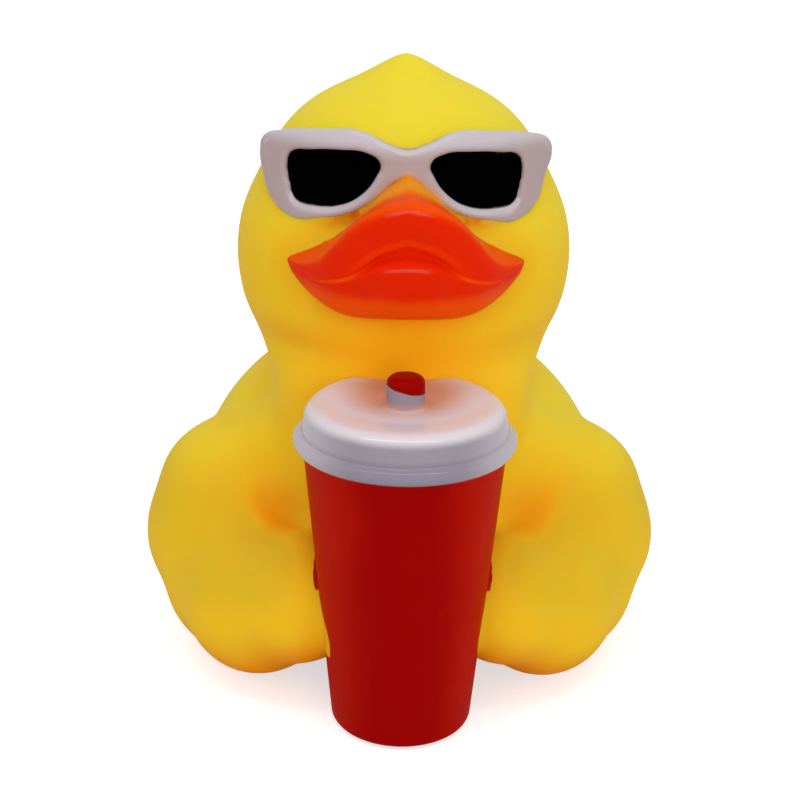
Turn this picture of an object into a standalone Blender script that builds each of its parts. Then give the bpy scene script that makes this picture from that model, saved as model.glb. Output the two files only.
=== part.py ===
"""Rubber duck in moulded sunglasses, hugging a lidded drinking cup.

The real duck is one hollow vinyl moulding: head, body, wings, bill, sunglasses and cup leave the mould
together, and only paint tells them apart. The duck faces -Y and stands on Z = 0, and the Z axis runs
through the middle of its neck. Sizes are in millimetres.
"""

import math

import bmesh
import bpy
from mathutils import Matrix, Vector

MM = 0.001

# Vinyl skin
WALL = 2.2
AIR_HOLE_DIAMETER = 3.0
AIR_HOLE_BACK = 6.0

# Head, neck and chest: one upright column of oval sections
NECK_HEIGHT = 42.0
HEAD_HALF_WIDTH = 23.5
FACE_REACH = 22.2
NAPE_REACH = 23.0
HEAD_SECTIONS = (
    # rise above the neck, then shares of half width, face reach and nape reach
    (43.7, 0.02, -0.01, 0.05),
    (42.5, 0.11, 0.08, 0.16),
    (40.3, 0.27, 0.24, 0.35),
    (37.2, 0.53, 0.51, 0.61),
    (33.4, 0.71, 0.72, 0.80),
    (28.0, 0.85, 0.86, 0.91),
    (22.0, 0.965, 0.97, 0.98),
    (16.0, 1.0, 1.0, 1.0),
    (10.0, 0.965, 0.975, 0.96),
    (4.8, 0.875, 0.90, 0.88),
)
HEAD_FULLNESS = 2.0
CHEST_SECTIONS = (
    # height above the floor, half width, chest reach, back reach
    (42.0, 18.6, 20.6, 18.6),
    (35.0, 18.4, 20.3, 18.0),
    (24.0, 18.0, 18.0, 18.0),
    (12.0, 16.0, 14.5, 17.0),
    (3.0, 13.0, 9.0, 14.0),
)
CHEST_FULLNESS = 2.7
COLUMN_STEPS = 4
COLUMN_SEGMENTS = 56

# Body masses: centre, radii and tilt, each an egg that the skin is drawn over
BODY_HALF_WIDTH = 31.2
TAIL_REACH = 46.2
TAIL_TILT_DEG = 42.0
TAIL_TIP_TILT_DEG = 48.0
TRUNK = ((0.0, 9.5, 17.2), (BODY_HALF_WIDTH, 26.0, 28.4))
RUMP = ((0.0, TAIL_REACH - 22.2, 20.0), (BODY_HALF_WIDTH * 0.7, 17.0, 19.0))
TAIL = ((0.0, TAIL_REACH - 11.7, 31.0), (12.5, 11.5, 8.6), TAIL_TILT_DEG)
TAIL_TIP = ((0.0, TAIL_REACH - 5.7, 38.0), (7.5, 7.5, 4.6), TAIL_TIP_TILT_DEG)
WING_HALF_SPAN = 37.6
WING_MASSES = (
    # name, then the centre's share of the half span, way back and height, then radii
    ("breast", (0.399, -3.0, 26.4), (10.5, 10.2, 10.6)),
    ("shoulder", (0.628, -1.4, 21.8), (12.4, 12.6, 11.0)),
    ("upper_wing", (0.649, -4.0, 16.5), (13.2, 13.5, 12.8)),
    ("elbow", (0.585, -9.5, 12.0), (12.5, 12.6, 12.4)),
    ("fore_wing", (0.53, -17.0, 11.6), (10.8, 11.0, 11.0)),
    ("wing_tip", (0.375, -22.2, 14.4), (9.2, 9.8, 9.3)),
)
SKIN_GRID = 0.9
BLEND_STEPS = 44
BLEND_START_RISE = 4.0
BLEND_FADE = 9.0
HEAD_BLEND = 0.12
DETAIL_GRID = 0.5
EDGE_STEPS = 2
OUTSIDE_TRIANGLES = 8600

# Cup and lid, turned about an upright axis in front of the chest
CUP_AHEAD = 28.4
CUP_FOOT_RADIUS = 9.5
CUP_FOOT_FILLET = 1.2
CUP_MOUTH_RADIUS = 13.15
CUP_HEIGHT = 39.6
CUP_SINK = 0.5
LID_RIM_RADIUS = 14.45
LID_RIM_ROUND = 1.1
LID_SIDE_RADIUS = 13.4
LID_GROOVE_DEPTH = 0.15
LID_GROOVE_RADIUS = LID_SIDE_RADIUS - LID_GROOVE_DEPTH
LID_GROOVE_RISE = 2.35
LID_SHOULDER_RADIUS = 13.1
LID_CREST_RISE = 6.0
LID_CREST_ROUND = 2.2
LID_PAN_RADIUS = 5.0
LID_PAN_RISE = 5.35
STRAW_RADIUS = 2.45
STRAW_RISE = 9.5
STRAW_EDGE = 1.0
STRAW_FILLET = 0.5
AXIS_RADIUS = 0.5
CUP_SEGMENTS = 52

# Sunglasses, drawn flat in X and Z and wrapped round the face
EYE_RISE = 30.0
FRAME_PROUD = 2.4
FRAME_DEPTH = 6.5
FRAME_DRAFT = 0.04
FRAME_EDGE = 0.9
FACE_SHARE_AT_EYES = 0.83
FRAME_WRAP = 0.0325
FRAME_RAKE = 0.32
LENS_SINK = 1.5
LENS_RAKE = 0.44
GLASSES_SKEW = 0.6
SKEW_START = 1.5
SKEW_FADE = 2.0
LENS_DEPTH = 5.0
LENS_LAP = 0.4
PLATE_STEP = 2.5
FRAME_OUTLINE = (
    # half outline from the bridge's top to its underside: across, then above the eye line
    (0.0, 4.0),
    (2.4, 4.7),
    (6.0, 6.2),
    (11.0, 5.9),
    (16.6, 4.8),
    (19.1, 3.5),
    (19.6, 1.4),
    (18.7, -0.8),
    (17.4, -4.2),
    (14.6, -6.0),
    (10.6, -5.4),
    (4.8, -3.3),
    (2.3, -1.4),
    (1.2, -0.2),
    (0.0, 0.3),
)
LENS_OUTLINE = (
    (2.9, 2.2),
    (4.6, 3.4),
    (8.0, 3.5),
    (12.0, 3.0),
    (14.5, 2.3),
    (15.1, 1.0),
    (14.9, -1.6),
    (14.0, -3.9),
    (11.2, -4.2),
    (7.9, -3.5),
    (5.2, -1.8),
    (3.4, 0.6),
)
TEMPLE_HEIGHT = 1.8
TEMPLE_THICKNESS = 1.2
TEMPLE_SEGMENTS = 12
TEMPLE_STATIONS = (
    # back from the neck's axis, outwards from the frame's end, rise above the eye line, share of its size
    (-9.0, -0.4, 1.5, 1.0),
    (-5.0, 0.0, 1.2, 1.0),
    (-1.0, 0.2, 0.5, 0.95),
    (3.0, -0.2, -0.3, 0.85),
    (7.0, -1.0, -1.1, 0.6),
)

# Bill: lines that run from its middle to its corner
MOUTH_RISE = 19.0
BILL_ACROSS = (0.0, 3.5, 6.5, 9.0, 11.2, 13.2, 14.8, 15.6)
BILL_LINES = {
    # each line of the bill from its middle to its corner: reach ahead of the face, rise above the mouth line
    "brow root": (
        (-2.7, 12.2), (-1.5, 9.6), (-1.0, 6.3), (-1.6, 4.1),
        (-2.6, 2.7), (-4.1, 1.5), (-5.5, 0.7), (-6.3, 0.1),
    ),
    "upper lip back edge": (
        (7.4, 11.3), (7.0, 10.2), (5.6, 8.0), (3.7, 5.0),
        (1.4, 2.2), (-1.4, 0.8), (-3.8, 0.3), (-5.9, 0.0),
    ),
    "upper lip front edge": (
        (9.8, 10.2), (9.1, 9.2), (7.2, 7.1), (4.8, 4.2),
        (2.1, 1.5), (-1.0, 0.3), (-3.6, 0.0), (-5.8, -0.1),
    ),
    "upper lip lower edge": (
        (8.4, 5.9), (7.7, 4.6), (6.2, 2.1), (4.3, 0.6),
        (1.9, -0.2), (-1.1, -0.4), (-3.8, -0.3), (-5.9, -0.2),
    ),
    "mouth": (
        (6.9, 4.5), (6.4, 3.4), (5.1, 1.3), (3.5, 0.1),
        (1.4, -0.5), (-1.4, -0.7), (-4.0, -0.5), (-5.9, -0.2),
    ),
    "lower lip back edge": (
        (8.2, 3.2), (7.6, 2.6), (6.0, 1.0), (4.0, -0.1),
        (1.6, -0.8), (-1.4, -0.9), (-4.0, -0.6), (-6.0, -0.3),
    ),
    "lower lip front edge": (
        (8.6, 2.5), (8.0, 2.0), (6.3, 0.5), (4.3, -0.6),
        (1.8, -1.2), (-1.3, -1.2), (-3.9, -0.8), (-6.0, -0.3),
    ),
    "lower lip face": (
        (7.0, -1.0), (6.5, -1.3), (4.5, -2.3), (2.7, -2.8),
        (0.4, -2.6), (-2.0, -2.0), (-4.3, -1.2), (-6.1, -0.4),
    ),
    "underside": (
        (3.8, -5.2), (3.5, -5.2), (2.0, -5.5), (0.6, -5.2),
        (-1.0, -4.3), (-3.0, -3.1), (-4.9, -1.7), (-6.2, -0.5),
    ),
    "chin root": (
        (-2.5, -6.6), (-2.5, -6.7), (-3.0, -6.6), (-3.6, -6.2),
        (-4.4, -5.2), (-5.3, -3.8), (-6.3, -2.0), (-6.5, -0.6),
    ),
}
BILL_STEPS = 3
BILL_ROOT_DEPTH = 3.5
BILL_INNER = 0.9

# Cavity: the same masses drawn one wall smaller
HOLLOW_CORNER = 1.2
THROAT = ((0.0, -18.0, 25.0), (7.0, 6.0, 13.0))
CAVITY_TRIANGLES = 1900
OVERCUT = 5.0
SLAB_SIDE = 160.0
SLAB_HEIGHT = 20.0


def clear_scene():
    for old in list(bpy.data.objects):
        bpy.data.objects.remove(old)


def add_object(name, bm):
    """A mesh object from bmesh geometry drawn in millimetres."""
    bmesh.ops.recalc_face_normals(bm, faces=bm.faces)
    bmesh.ops.scale(bm, vec=(MM, MM, MM), verts=bm.verts)
    mesh = bpy.data.meshes.new(name)
    bm.to_mesh(mesh)
    bm.free()
    obj = bpy.data.objects.new(name, mesh)
    bpy.context.scene.collection.objects.link(obj)
    return obj


def hide_guide(obj):
    obj.hide_render = True
    obj.display_type = "WIRE"


def settle(obj):
    """Replaces an object's mesh by what its modifiers make of it."""
    graph = bpy.context.evaluated_depsgraph_get()
    made = bpy.data.meshes.new_from_object(obj.evaluated_get(graph))
    obj.modifiers.clear()
    obj.data = made


def smooth_through(rows, steps):
    """Points on a Catmull-Rom curve through rows of numbers, with the rows themselves kept."""
    made = []
    last = len(rows) - 1
    for i in range(last):
        before, start, end, after = (rows[min(max(i + k, 0), last)] for k in (-1, 0, 1, 2))
        for step in range(steps):
            t = step / steps
            row = []
            for a, b, c, d in zip(before, start, end, after):
                bend = (2 * a - 5 * b + 4 * c - d) * t**2 + (3 * b - a - 3 * c + d) * t**3
                row.append(0.5 * (2 * b + (c - a) * t + bend))
            made.append(tuple(row))
    made.append(tuple(rows[last]))
    return made


def bridge(bm, rings):
    """Quads between rings of as many vertices each, with a face over each end."""
    count = len(rings[0])
    for lower, upper in zip(rings, rings[1:]):
        for i in range(count):
            j = (i + 1) % count
            bm.faces.new((lower[i], lower[j], upper[j], upper[i]))
    bm.faces.new(rings[0])
    bm.faces.new(rings[-1])


def column_rows(inset):
    """Sections from the top down: height, half width, front reach, back reach, fullness (2 is a true oval)."""
    head = [
        (NECK_HEIGHT + rise, wide * HEAD_HALF_WIDTH, front * FACE_REACH, back * NAPE_REACH, HEAD_FULLNESS)
        for rise, wide, front, back in HEAD_SECTIONS
    ]
    chest = [section + (CHEST_FULLNESS,) for section in CHEST_SECTIONS]
    rows = smooth_through(head + chest, COLUMN_STEPS)
    if not inset:
        return rows
    top = head[0][0] - inset
    inner = [(z, wide - inset, front - inset, back - inset, full) for z, wide, front, back, full in rows]
    return [row for row in inner if row[0] < top and min(row[1:4]) > inset]


def add_column(bm, inset):
    rings = []
    for z, wide, front, back, full in column_rows(inset):
        middle = (back - front) / 2
        deep = (back + front) / 2
        ring = []
        for i in range(COLUMN_SEGMENTS):
            turn = 2 * math.pi * i / COLUMN_SEGMENTS
            c, s = (math.copysign(abs(part) ** (2 / full), part) for part in (math.cos(turn), math.sin(turn)))
            ring.append(bm.verts.new((wide * c, middle + deep * s, z)))
        rings.append(ring)
    bridge(bm, rings)


def add_egg(bm, centre, radii, tilt_deg=0.0, inset=0.0):
    size = Matrix.Diagonal([r - inset for r in radii]).to_4x4()
    place = Matrix.Translation(centre) @ Matrix.Rotation(math.radians(tilt_deg), 4, "X") @ size
    bmesh.ops.create_uvsphere(bm, u_segments=32, v_segments=20, radius=1.0, matrix=place)


def draw_skin(name, inset):
    """Head, body and wings as one smooth closed skin, set in from the outside by the inset."""
    bm = bmesh.new()
    add_column(bm, inset)
    for mass in (TRUNK, RUMP, TAIL):
        add_egg(bm, *mass, inset=inset)
    if not inset:
        add_egg(bm, *TAIL_TIP)
    for _, (share, y, z), radii in WING_MASSES:
        for side in (-1, 1):
            add_egg(bm, (side * share * WING_HALF_SPAN, y, z), radii, inset=inset)
    skin = add_object(name, bm)
    fuse(skin, SKIN_GRID)
    soften = skin.vertex_groups.new(name="below the neck")
    for v in skin.data.vertices:
        below = (NECK_HEIGHT + BLEND_START_RISE - v.co.z / MM) / BLEND_FADE
        soften.add([v.index], min(1.0, max(HEAD_BLEND, below)), "REPLACE")
    blend = skin.modifiers.new("blend junctions", "SMOOTH")
    blend.factor = 0.5
    blend.iterations = BLEND_STEPS
    blend.vertex_group = soften.name
    settle(skin)
    return skin


def fuse(obj, grid):
    """Makes one closed skin of all the overlapping forms in an object."""
    step = obj.modifiers.new("fuse forms", "REMESH")
    step.mode = "VOXEL"
    step.voxel_size = grid * MM
    settle(obj)


def thin_out(obj, triangles):
    step = obj.modifiers.new("thin out faces", "DECIMATE")
    step.ratio = triangles / (2 * len(obj.data.polygons))
    settle(obj)


def take_in(obj, others):
    """Adds the meshes of other objects to an object and removes them."""
    bm = bmesh.new()
    bm.from_mesh(obj.data)
    for other in others:
        bm.from_mesh(other.data)
        bpy.data.objects.remove(other)
    bm.to_mesh(obj.data)
    bm.free()


def arc(centre_r, centre_z, radius, start_deg, end_deg, steps):
    """Profile points (radius, height) round an arc."""
    made = []
    for i in range(steps + 1):
        turn = math.radians(start_deg + (end_deg - start_deg) * i / steps)
        made.append((centre_r + radius * math.cos(turn), centre_z + radius * math.sin(turn)))
    return made


def turn_profile(name, profile):
    """A closed form turned about the cup's axis in front of the chest."""
    bm = bmesh.new()
    rings = []
    for radius, height in profile:
        ring = []
        for i in range(CUP_SEGMENTS):
            turn = 2 * math.pi * i / CUP_SEGMENTS
            ring.append(bm.verts.new((radius * math.cos(turn), radius * math.sin(turn) - CUP_AHEAD, height)))
        rings.append(ring)
    bridge(bm, rings)
    return add_object(name, bm)


def make_cup():
    """Cup, lid and straw stub as one form, from the foot up to the stub's top."""
    foot = CUP_FOOT_RADIUS - CUP_FOOT_FILLET
    rim = LID_RIM_ROUND
    crest = LID_CREST_ROUND
    groove = CUP_HEIGHT + LID_GROOVE_RISE
    pan = CUP_HEIGHT + LID_PAN_RISE
    profile = [(AXIS_RADIUS, -CUP_SINK), (foot, -CUP_SINK)]
    profile += arc(foot, CUP_FOOT_FILLET, CUP_FOOT_FILLET, -90, 0, 4)
    profile += [(CUP_MOUTH_RADIUS, CUP_HEIGHT)]
    profile += arc(LID_RIM_RADIUS - rim, CUP_HEIGHT + rim, rim, -90, 50, 6)
    profile += [(LID_GROOVE_RADIUS, groove), (LID_SIDE_RADIUS, groove + LID_GROOVE_DEPTH * 2)]
    profile += arc(LID_SHOULDER_RADIUS - crest, CUP_HEIGHT + LID_CREST_RISE - crest, crest, 0, 95, 6)
    profile += [(LID_PAN_RADIUS, pan), (STRAW_RADIUS + STRAW_FILLET, pan), (STRAW_RADIUS, pan + STRAW_FILLET)]
    profile += arc(STRAW_RADIUS - STRAW_EDGE, CUP_HEIGHT + STRAW_RISE - STRAW_EDGE, STRAW_EDGE, 0, 90, 3)
    profile += [(AXIS_RADIUS, CUP_HEIGHT + STRAW_RISE)]
    return turn_profile("cup_form", profile)


def make_cup_hollow():
    foot = CUP_FOOT_RADIUS - WALL
    mouth = CUP_MOUTH_RADIUS - WALL
    top = CUP_HEIGHT + LID_PAN_RISE - WALL
    corner = HOLLOW_CORNER
    profile = [(AXIS_RADIUS, WALL), (foot - corner, WALL), (foot, WALL + corner), (mouth, CUP_HEIGHT)]
    profile += [(mouth - corner, top), (AXIS_RADIUS, top)]
    return turn_profile("cup_hollow", profile)


def make_throat():
    """Joins the cup's hollow to the body's through the chest."""
    bm = bmesh.new()
    add_egg(bm, *THROAT)
    return add_object("throat_form", bm)


def wrap_round_face(obj, proud, rake):
    """Bends a flat form drawn in X and Y, with its front at Z = 0, round the face at eye level."""
    reach = FACE_REACH * FACE_SHARE_AT_EYES + proud
    for v in obj.data.vertices:
        across, up, front = (c / MM for c in v.co)
        y = -reach + FRAME_WRAP * across**2 + rake * up - front
        v.co = Vector((across, y, NECK_HEIGHT + EYE_RISE + up * (1 + FRAME_DRAFT * front))) * MM


def flat_form(name, outlines, depth, edge=0.0, grow=0.0):
    """A plate with rounded edges cut to smooth closed outlines, its front at Z = 0 and its back below."""
    curve = bpy.data.curves.new(name, "CURVE")
    curve.dimensions = "2D"
    curve.fill_mode = "BOTH"
    curve.resolution_u = 5
    curve.extrude = (depth / 2 - edge) * MM
    curve.bevel_depth = edge * MM
    curve.bevel_resolution = 1
    curve.offset = (grow - edge) * MM
    for outline in outlines:
        spline = curve.splines.new("BEZIER")
        spline.bezier_points.add(len(outline) - 1)
        for point, (x, y) in zip(spline.bezier_points, outline):
            point.co = (x * MM, y * MM, 0.0)
            point.handle_left_type = point.handle_right_type = "AUTO"
        spline.use_cyclic_u = True
    drawn = bpy.data.objects.new(name, curve)
    bpy.context.scene.collection.objects.link(drawn)
    graph = bpy.context.evaluated_depsgraph_get()
    bm = bmesh.new()
    bm.from_mesh(bpy.data.meshes.new_from_object(drawn.evaluated_get(graph)))
    bpy.data.objects.remove(drawn)
    bmesh.ops.scale(bm, vec=(1 / MM,) * 3, verts=bm.verts)
    bmesh.ops.translate(bm, vec=(0, 0, -depth / 2), verts=bm.verts)
    bmesh.ops.remove_doubles(bm, verts=bm.verts, dist=0.001)
    reach = math.ceil(max(abs(v.co.x) for v in bm.verts) / PLATE_STEP)
    for step in range(-reach, reach + 1):
        whole = bm.verts[:] + bm.edges[:] + bm.faces[:]
        place = (step * PLATE_STEP, 0, 0)
        bmesh.ops.bisect_plane(bm, geom=whole, plane_co=place, plane_no=(1, 0, 0), dist=0.0001)
    bmesh.ops.triangulate(bm, faces=bm.faces)
    return add_object(name, bm)


def make_frame():
    """Both rims with the bridge between them; the left one leans outwards towards its foot."""
    right = list(FRAME_OUTLINE)
    left = []
    for x, y in reversed(right[1:-1]):
        lean = min(1.0, max(0.0, (SKEW_START - y) / SKEW_FADE))
        left.append((-x - GLASSES_SKEW * lean, y))
    outlines = [right + left, LENS_OUTLINE, [(-x - GLASSES_SKEW, y) for x, y in LENS_OUTLINE]]
    frame = flat_form("frame_form", outlines, FRAME_DEPTH, edge=FRAME_EDGE)
    wrap_round_face(frame, FRAME_PROUD, FRAME_RAKE)
    return frame


def make_lenses():
    """Both dark panes, a little larger than their openings and set back from the frame's front."""
    made = []
    for side, skew in ((-1, GLASSES_SKEW), (1, 0.0)):
        outline = [(side * (x + skew), y) for x, y in LENS_OUTLINE]
        pane = flat_form("pane_form", [outline], LENS_DEPTH, grow=LENS_LAP)
        wrap_round_face(pane, FRAME_PROUD - LENS_SINK, LENS_RAKE)
        made.append(pane)
    return made


def make_temples():
    """Arms that run back from the frame's corners and sink into the sides of the head."""
    made = []
    level = NECK_HEIGHT + EYE_RISE
    beside = max(across for across, _ in FRAME_OUTLINE) - TEMPLE_THICKNESS
    for side in (-1, 1):
        bm = bmesh.new()
        rings = []
        for y, out, rise, size in TEMPLE_STATIONS:
            ring = []
            for i in range(TEMPLE_SEGMENTS):
                turn = 2 * math.pi * i / TEMPLE_SEGMENTS
                across = side * (beside + out + TEMPLE_THICKNESS * size * math.cos(turn))
                ring.append(bm.verts.new((across, y, level + rise + TEMPLE_HEIGHT * size * math.sin(turn))))
            rings.append(ring)
        bridge(bm, rings)
        made.append(add_object("temple_form", bm))
    return made


def make_bill():
    stations = []
    for across, points in zip(BILL_ACROSS, zip(*BILL_LINES.values())):
        stations.append((across,) + tuple(c for point in points for c in point))
    half = smooth_through(stations, BILL_STEPS)
    bm = bmesh.new()
    rings = []
    for row in [(-row[0],) + row[1:] for row in reversed(half[1:])] + half:
        across = row[0]
        profile = smooth_through(list(zip(row[1::2], row[2::2])), BILL_STEPS)
        ring = []
        for reach, rise in profile:
            ring.append(bm.verts.new((across, -FACE_REACH - reach, NECK_HEIGHT + MOUTH_RISE + rise)))
        for end in (ring[-1], ring[0]):
            ring.append(bm.verts.new((across * BILL_INNER, end.co.y + BILL_ROOT_DEPTH, end.co.z)))
        rings.append(ring)
    bridge(bm, rings)
    return add_object("bill_form", bm)


def make_slab(name, top):
    """A block whose top face trims whatever reaches below it."""
    bm = bmesh.new()
    size = Matrix.Diagonal((SLAB_SIDE, SLAB_SIDE, SLAB_HEIGHT, 1))
    bmesh.ops.create_cube(bm, size=1.0, matrix=Matrix.Translation((0, 0, top - SLAB_HEIGHT / 2)) @ size)
    return add_object(name, bm)


def make_air_hole():
    bm = bmesh.new()
    place = Matrix.Translation((0, AIR_HOLE_BACK, 0))
    bmesh.ops.create_cone(
        bm,
        cap_ends=True,
        segments=24,
        radius1=AIR_HOLE_DIAMETER / 2,
        radius2=AIR_HOLE_DIAMETER / 2,
        depth=2 * (WALL + OVERCUT),
        matrix=place,
    )
    return add_object("air_hole_form", bm)


def combine(obj, other, operation):
    step = obj.modifiers.new(f"{operation.lower()} {other.name}", "BOOLEAN")
    step.operation = operation
    step.object = other
    step.solver = "EXACT"
    hide_guide(other)


def vinyl(name, colour, roughness):
    material = bpy.data.materials.new(name)
    material.use_nodes = True
    shader = material.node_tree.nodes["Principled BSDF"]
    shader.inputs["Base Color"].default_value = (*colour, 1.0)
    shader.inputs["Roughness"].default_value = roughness
    shader.inputs["Metallic"].default_value = 0.0
    return material


def make_cavity():
    cavity = draw_skin("cavity_form", WALL)
    take_in(cavity, [make_cup_hollow(), make_throat()])
    fuse(cavity, SKIN_GRID)
    thin_out(cavity, CAVITY_TRIANGLES)
    combine(cavity, make_slab("cavity_floor", WALL), "DIFFERENCE")
    settle(cavity)
    return cavity


def make_duck():
    duck = draw_skin("duck", 0.0)
    take_in(duck, [make_bill(), make_frame(), *make_lenses(), *make_temples(), make_cup()])
    fuse(duck, DETAIL_GRID)
    edges = duck.modifiers.new("moulded edges", "SMOOTH")
    edges.factor = 0.5
    edges.iterations = EDGE_STEPS
    settle(duck)
    thin_out(duck, OUTSIDE_TRIANGLES)
    combine(duck, make_slab("floor_form", 0.0), "DIFFERENCE")
    combine(duck, make_cavity(), "DIFFERENCE")
    combine(duck, make_air_hole(), "DIFFERENCE")
    duck.data.shade_smooth()
    duck.data.materials.clear()
    duck.data.materials.append(vinyl("yellow vinyl", (0.86, 0.60, 0.03), 0.42))


clear_scene()
make_duck()
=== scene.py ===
import math

import bmesh
import bpy
import numpy as np
from mathutils import Matrix, Vector
from mathutils.bvhtree import BVHTree


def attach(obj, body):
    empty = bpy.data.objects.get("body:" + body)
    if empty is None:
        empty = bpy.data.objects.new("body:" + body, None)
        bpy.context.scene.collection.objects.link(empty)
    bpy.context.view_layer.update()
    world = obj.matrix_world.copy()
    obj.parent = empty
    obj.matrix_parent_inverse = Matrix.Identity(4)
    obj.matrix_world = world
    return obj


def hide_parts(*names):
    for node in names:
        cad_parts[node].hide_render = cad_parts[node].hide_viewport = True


# Camera
# It stands in front of the bill, a hand's height above it, and looks down on the lid.
# Lengths in this file are in millimetres, and MM turns them into the frame's metres.
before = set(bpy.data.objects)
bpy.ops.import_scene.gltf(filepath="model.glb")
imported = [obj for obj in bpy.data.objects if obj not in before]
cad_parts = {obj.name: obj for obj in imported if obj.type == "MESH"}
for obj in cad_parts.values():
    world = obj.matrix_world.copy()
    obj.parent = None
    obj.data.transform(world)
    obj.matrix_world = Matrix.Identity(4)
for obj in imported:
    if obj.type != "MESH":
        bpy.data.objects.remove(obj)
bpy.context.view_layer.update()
MM = 0.001
CAMERA_PLACE = (-4.3, -215.0, 115.0)
CAMERA_DIP_DEG = 20.35
CAMERA_ROLL_DEG = 0.9
CAMERA_LENS = 70.29
CAMERA_SHIFT = -1.3 / 800

lens = bpy.data.cameras.new("camera")
lens.lens = CAMERA_LENS
lens.sensor_width = 36.0
lens.shift_x = CAMERA_SHIFT
lens.clip_start = 0.01
camera = bpy.data.objects.new("camera", lens)
bpy.context.scene.collection.objects.link(camera)
camera_turn = Matrix.Rotation(math.atan2(CAMERA_PLACE[0], -CAMERA_PLACE[1]), 4, "Z")
camera_tilt = Matrix.Rotation(math.radians(90 - CAMERA_DIP_DEG), 4, "X")
camera_roll = Matrix.Rotation(math.radians(CAMERA_ROLL_DEG), 4, "Z")
camera.matrix_world = Matrix.Translation(Vector(CAMERA_PLACE) * MM) @ camera_turn @ camera_tilt @ camera_roll
bpy.context.scene.camera = camera
bpy.context.scene.view_settings.view_transform = "Standard"


# Photo table and light tent
# A white table top in an evenly glowing tent, with a wide soft box overhead whose reflection draws the
# highlights and a box in front for the face. The table shows white and keeps the duck's shadow.
FLOOR_HALF = 3.0
FLOOR_DROP = 0.0002
TABLE_WHITE = (0.80, 0.80, 0.80)
TABLE_LIFT = 0.60
TENT_GLOW = 0.64
WHITE_LIGHT = (1.0, 1.0, 1.0)
LAMP_AIM = (0.0, -0.01, 0.045)
LAMPS = (
    # name, place and size in metres, watts, whether it shows in the gloss
    ("overhead box", (-0.03, -0.24, 0.75), (0.90, 0.10), 1.15, True),
    ("front box", (0.15, -0.80, 0.24), (0.44, 0.44), 1.5, False),
)


class Field:
    """A socket's value over a surface, on which plain arithmetic adds Math nodes."""

    def __init__(self, finish, socket):
        self.finish = finish
        self.socket = socket

    def _maths(self, operation, first, second):
        return self.finish.node("ShaderNodeMath", {"operation": operation}, {0: first, 1: second})

    def __add__(self, other):
        return self._maths("ADD", self, other)

    __radd__ = __add__

    def __sub__(self, other):
        return self._maths("SUBTRACT", self, other)

    def __rsub__(self, other):
        return self._maths("SUBTRACT", other, self)

    def __mul__(self, other):
        return self._maths("MULTIPLY", self, other)

    __rmul__ = __mul__

    def __pow__(self, other):
        return self._maths("POWER", self, other)


class Finish:
    """A node material that is put together from expressions."""

    def __init__(self, owner):
        owner.use_nodes = True
        self.owner = owner
        self.tree = owner.node_tree
        self.tree.nodes.clear()

    def node(self, kind, settings, sockets, out=0):
        """Adds one node: its settings first, then what its sockets hold or take. Gives the named output."""
        made = self.tree.nodes.new(kind)
        for name, value in settings.items():
            setattr(made, name, value)
        for name, value in sockets.items():
            if isinstance(value, Field):
                self.tree.links.new(value.socket, made.inputs[name])
            elif isinstance(value, tuple) and len(value) == 3 and made.inputs[name].type == "RGBA":
                made.inputs[name].default_value = (*value, 1.0)
            else:
                made.inputs[name].default_value = value
        return Field(self, made.outputs[out]) if made.outputs else None

    def place(self):
        """Object coordinates in millimetres."""
        where = self.node("ShaderNodeTexCoord", {}, {}, "Object")
        return self.node("ShaderNodeVectorMath", {"operation": "SCALE"}, {0: where, "Scale": 1 / MM})

    def split(self, where):
        return [self.node("ShaderNodeSeparateXYZ", {}, {0: where}, axis) for axis in "XYZ"]

    def upward(self):
        """How far a surface faces up: 1 for level, 0 for upright, -1 for the underside."""
        return self.split(self.node("ShaderNodeTexCoord", {}, {}, "Normal"))[2]

    def noise(self, where, size, detail=2.0, roughness=0.5):
        """Soft noise from 0 to 1 whose patches are about so many millimetres across."""
        sockets = {"Vector": where, "Scale": 1 / size, "Detail": detail, "Roughness": roughness}
        return self.node("ShaderNodeTexNoise", {}, sockets, 0)

    def ramp(self, value, start, end):
        """Runs smoothly from 0 at start to 1 at end."""
        sockets = {"Value": value, "From Min": start, "From Max": end}
        if start > end:
            sockets = {"Value": value, "From Min": end, "From Max": start, "To Min": 1.0, "To Max": 0.0}
        return self.node("ShaderNodeMapRange", {"interpolation_type": "SMOOTHSTEP"}, sockets)

    def blend(self, share, under, over):
        """One colour laid over another, as thick as the share says."""
        settings = {"data_type": "RGBA", "blend_type": "MIX"}
        return self.node("ShaderNodeMix", settings, {0: share, 6: under, 7: over}, 2)

    def mark(self, name):
        """A number painted on the mesh's points."""
        return self.node("ShaderNodeAttribute", {"attribute_name": name}, {}, "Fac")

    def away_from(self, where, spot):
        """The distance from a point."""
        return self.node("ShaderNodeVectorMath", {"operation": "DISTANCE"}, {0: where, 1: spot}, "Value")

    def fleck(self, where, spot, radius):
        """1 within a small ball round a point, with a soft edge."""
        return self.ramp(self.away_from(where, spot), radius, radius * 0.55)

    def bump(self, height, depth):
        """A normal from a height of 0 to 1 that is so many millimetres deep."""
        return self.node("ShaderNodeBump", {}, {"Strength": 1.0, "Distance": depth * MM, "Height": height})

    def end(self, shader):
        kind = "World" if isinstance(self.owner, bpy.types.World) else "Material"
        self.node("ShaderNodeOutput" + kind, {}, {"Surface": shader})
        return self.owner


def seen_directly(finish):
    """1 where the camera looks straight at a surface, and 0 for light on its way."""
    return finish.node("ShaderNodeLightPath", {}, {}, "Is Camera Ray")


tent = Finish(bpy.context.scene.world or bpy.data.worlds.new("light tent"))
bpy.context.scene.world = tent.owner
glow_strength = seen_directly(tent) * (1 - TENT_GLOW) + TENT_GLOW
glow = tent.node("ShaderNodeBackground", {}, {"Color": WHITE_LIGHT, "Strength": glow_strength})
tent.end(glow)

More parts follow.
